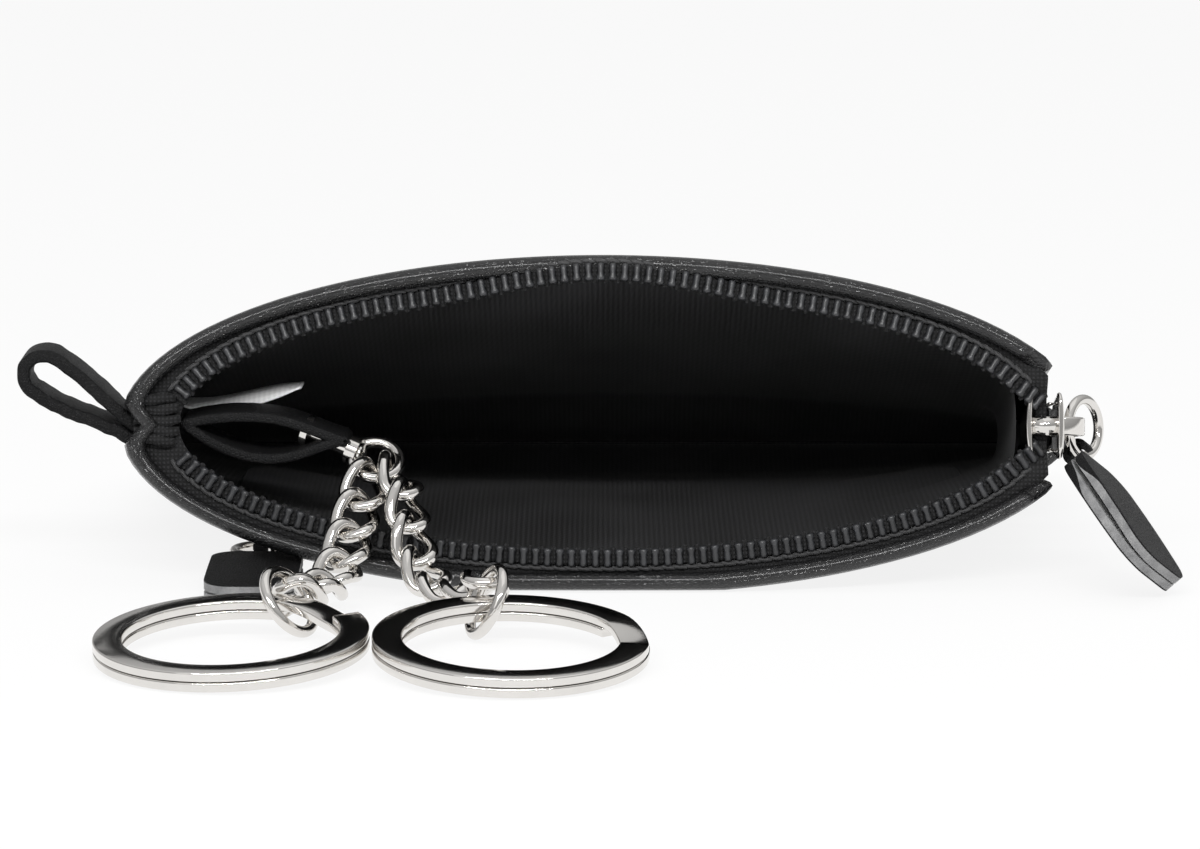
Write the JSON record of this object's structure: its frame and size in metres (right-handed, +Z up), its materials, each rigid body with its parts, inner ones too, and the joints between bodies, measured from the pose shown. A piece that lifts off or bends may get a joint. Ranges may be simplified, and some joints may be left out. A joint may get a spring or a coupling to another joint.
{
  "type": "key case",
  "caption": "Soft leather zip pouch for keys lying open, with an inner strap and swivel that hold two curb chains ending in flat split rings, a hand loop and a zip pocket underneath.",
  "frame": {"origin": "on the table under the middle of the pouch", "axes": "+Z up, -Y out of the open mouth towards the viewer, +X towards the end with the zip slider"},
  "size_m": [0.1341, 0.1194, 0.0383],
  "materials": {
    "leather": "black fine-grained leather, satin",
    "lining_cloth": "black satin lining with fine ribs",
    "zip_tape": "black woven tape",
    "zip_teeth": "black moulded plastic",
    "nickel": "bright nickel plate",
    "label_cloth": "white satin ribbon, bare"
  },
  "bodies": {
    "pouch": {"lower_panel": "leather", "lower_lining": "lining_cloth", "lower_zip_tape": "zip_tape", "lower_zip_teeth": "zip_teeth", "side_zip_tape": "zip_tape", "side_zip_teeth": "zip_teeth", "zip_bottom_stop": "zip_teeth", "zip_end_tack": "zip_tape", "care_label": "label_cloth", "pocket_bag": "lining_cloth", "pocket_zip_tape": "zip_tape", "pocket_zip_teeth": "zip_teeth", "pocket_zip_stop": "zip_teeth"},
    "upper_half": {"upper_panel": "leather", "upper_lining": "lining_cloth", "upper_zip_tape": "zip_tape", "upper_zip_teeth": "zip_teeth"},
    "zip_slider": {"zip_slider": "nickel"},
    "pull_ring": {"pull_ring": "nickel"},
    "pull_tab": {"pull_tab": "leather"},
    "hand_loop": {"hand_loop": "leather"},
    "key_strap": {"key_strap": "leather", "swivel_pin": "nickel"},
    "swivel_eye": {"swivel_eye": "nickel"},
    "pocket_slider": {"pocket_slider": "nickel"},
    "pocket_pull_ring": {"pocket_pull_ring": "nickel"},
    "pocket_pull_tab": {"pocket_pull_tab": "leather"},
    "left_chain_link_1": {"left_chain_link_1": "nickel"},
    "left_chain_link_2": {"left_chain_link_2": "nickel"},
    "left_chain_link_3": {"left_chain_link_3": "nickel"},
    "left_chain_link_4": {"left_chain_link_4": "nickel"},
    "left_chain_link_5": {"left_chain_link_5": "nickel"},
    "left_chain_link_6": {"left_chain_link_6": "nickel"},
    "right_chain_link_1": {"right_chain_link_1": "nickel"},
    "right_chain_link_2": {"right_chain_link_2": "nickel"},
    "right_chain_link_3": {"right_chain_link_3": "nickel"},
    "right_chain_link_4": {"right_chain_link_4": "nickel"},
    "right_chain_link_5": {"right_chain_link_5": "nickel"},
    "right_chain_link_6": {"right_chain_link_6": "nickel"},
    "right_chain_link_7": {"right_chain_link_7": "nickel"},
    "left_jump_ring": {"left_jump_ring": "nickel"},
    "left_split_ring": {"left_split_ring": "nickel"},
    "right_jump_ring": {"right_jump_ring": "nickel"},
    "right_split_ring": {"right_split_ring": "nickel"}
  },
  "joints": [
    {"name": "mouth_lift", "type": "hinge", "parent": "pouch", "child": "upper_half", "pos_m": [0, 0.033, 0.0045], "axis": [-1, 0, 0], "range_deg": [0, 6]},
    {"name": "zip_slide", "type": "slide", "parent": "pouch", "child": "zip_slider", "axis": [0, 0.9751, -0.2216], "range_m": [0, 0.008], "deforming": ["side_zip_teeth"]},
    {"name": "pull_ring_swing", "type": "hinge", "parent": "zip_slider", "child": "pull_ring", "pos_m": [0.05405, -0.02358, 0.01735], "axis": [0, 0.2216, 0.9751], "range_deg": [-8, 0]},
    {"name": "pull_tab_lift", "type": "hinge", "parent": "pull_ring", "child": "pull_tab", "pos_m": [0.05531, -0.02265, 0.014], "axis": [-0.5615, -0.6393, 0.5254], "range_deg": [0, 40]},
    {"name": "hand_loop_lift", "type": "hinge", "parent": "pouch", "child": "hand_loop", "pos_m": [-0.0568, -0.02415, 0.01892], "axis": [0, 1, 0], "range_deg": [0, 20]},
    {"name": "key_strap_lift", "type": "hinge", "parent": "pouch", "child": "key_strap", "pos_m": [-0.0487, -0.02426, 0.01843], "axis": [0, -1, 0], "range_deg": [0, 8]},
    {"name": "swivel_turn", "type": "hinge", "parent": "key_strap", "child": "swivel_eye", "pos_m": [-0.03377, -0.02426, 0.01678], "axis": [-0.896, 0.2987, 0.3285], "range_deg": [0, 12]},
    {"name": "left_link_1_lift", "type": "hinge", "parent": "swivel_eye", "child": "left_chain_link_1", "pos_m": [-0.02739, -0.02887, 0.01258], "axis": [-0.9774, 0.2113, 0], "range_deg": [0, 8]},
    {"name": "left_link_2_lift", "type": "hinge", "parent": "left_chain_link_1", "child": "left_chain_link_2", "pos_m": [-0.02781, -0.03237, 0.01018], "axis": [-0.9796, 0.2011, 0], "range_deg": [0, 8]},
    {"name": "left_link_3_lift", "type": "hinge", "parent": "left_chain_link_2", "child": "left_chain_link_3", "pos_m": [-0.02865, -0.03647, 0.00756], "axis": [-0.9826, 0.1856, 0], "range_deg": [0, 8]},
    {"name": "left_link_4_lift", "type": "hinge", "parent": "left_chain_link_3", "child": "left_chain_link_4", "pos_m": [-0.02944, -0.04064, 0.00502], "axis": [-0.9583, 0.2856, 0], "range_deg": [0, 4]},
    {"name": "left_link_5_lift", "type": "hinge", "parent": "left_chain_link_4", "child": "left_chain_link_5", "pos_m": [-0.03078, -0.04512, 0.00343], "axis": [-0.9505, 0.3107, 0], "range_deg": [0, 3]},
    {"name": "left_link_6_lift", "type": "hinge", "parent": "left_chain_link_5", "child": "left_chain_link_6", "pos_m": [-0.03231, -0.0498, 0.00377], "axis": [-0.8616, 0.5075, 0], "range_deg": [0, 6]},
    {"name": "left_jump_ring_lift", "type": "hinge", "parent": "left_chain_link_6", "child": "left_jump_ring", "pos_m": [-0.03509, -0.05453, 0.00538], "axis": [-0.9063, 0.4226, 0], "range_deg": [0, 30]},
    {"name": "left_split_ring_lift", "type": "hinge", "parent": "left_jump_ring", "child": "left_split_ring", "pos_m": [-0.03459, -0.05686, 0.00327], "axis": [-0.9063, 0.4227, 0], "range_deg": [0, 35]},
    {"name": "right_link_1_lift", "type": "hinge", "parent": "swivel_eye", "child": "right_chain_link_1", "pos_m": [-0.02357, -0.02703, 0.01352], "axis": [-0.9041, -0.4274, 0], "range_deg": [0, 8]},
    {"name": "right_link_2_lift", "type": "hinge", "parent": "right_chain_link_1", "child": "right_chain_link_2", "pos_m": [-0.02284, -0.03155, 0.01136], "axis": [-0.9866, -0.1634, 0], "range_deg": [0, 14]},
    {"name": "right_link_3_lift", "type": "hinge", "parent": "right_chain_link_2", "child": "right_chain_link_3", "pos_m": [-0.0222, -0.03542, 0.00835], "axis": [-0.9617, -0.2739, 0], "range_deg": [0, 12]},
    {"name": "right_link_4_lift", "type": "hinge", "parent": "right_chain_link_3", "child": "right_chain_link_4", "pos_m": [-0.02121, -0.03889, 0.00498], "axis": [-0.915, -0.4035, 0], "range_deg": [0, 4]},
    {"name": "right_link_5_swing", "type": "hinge", "parent": "right_chain_link_4", "child": "right_chain_link_5", "pos_m": [-0.01941, -0.04296, 0.00283], "axis": [0, 0, 1], "range_deg": [0, 5]},
    {"name": "right_link_6_swing", "type": "hinge", "parent": "right_chain_link_5", "child": "right_chain_link_6", "pos_m": [-0.0169, -0.04721, 0.00257], "axis": [0, 0, 1], "range_deg": [0, 12]},
    {"name": "right_link_7_swing", "type": "hinge", "parent": "right_chain_link_6", "child": "right_chain_link_7", "pos_m": [-0.01424, -0.05122, 0.00368], "axis": [0, 0, 1], "range_deg": [0, 15]},
    {"name": "right_jump_ring_lift", "type": "hinge", "parent": "right_chain_link_7", "child": "right_jump_ring", "pos_m": [-0.01251, -0.05621, 0.00588], "axis": [-0.9578, -0.2874, 0], "range_deg": [0, 20]},
    {"name": "right_split_ring_lift", "type": "hinge", "parent": "right_jump_ring", "child": "right_split_ring", "pos_m": [-0.01296, -0.05833, 0.00355], "axis": [-0.9742, -0.2259, 0], "range_deg": [0, 35]},
    {"name": "pocket_zip_slide", "type": "hinge", "parent": "pouch", "child": "pocket_slider", "pos_m": [0, -0.019, 0.16485], "axis": [0, -1, 0], "range_deg": [0, 23.5], "deforming": ["pocket_zip_teeth"]},
    {"name": "pocket_ring_swing", "type": "hinge", "parent": "pocket_slider", "child": "pocket_pull_ring", "pos_m": [-0.03694, -0.019, 0.00163], "axis": [0, 0, 1], "range_deg": [-10, 0]},
    {"name": "pocket_tab_swing", "type": "hinge", "parent": "pocket_pull_ring", "child": "pocket_pull_tab", "pos_m": [-0.04024, -0.019, 0.00163], "axis": [0, 0, -1], "range_deg": [0, 25]}
  ]
}
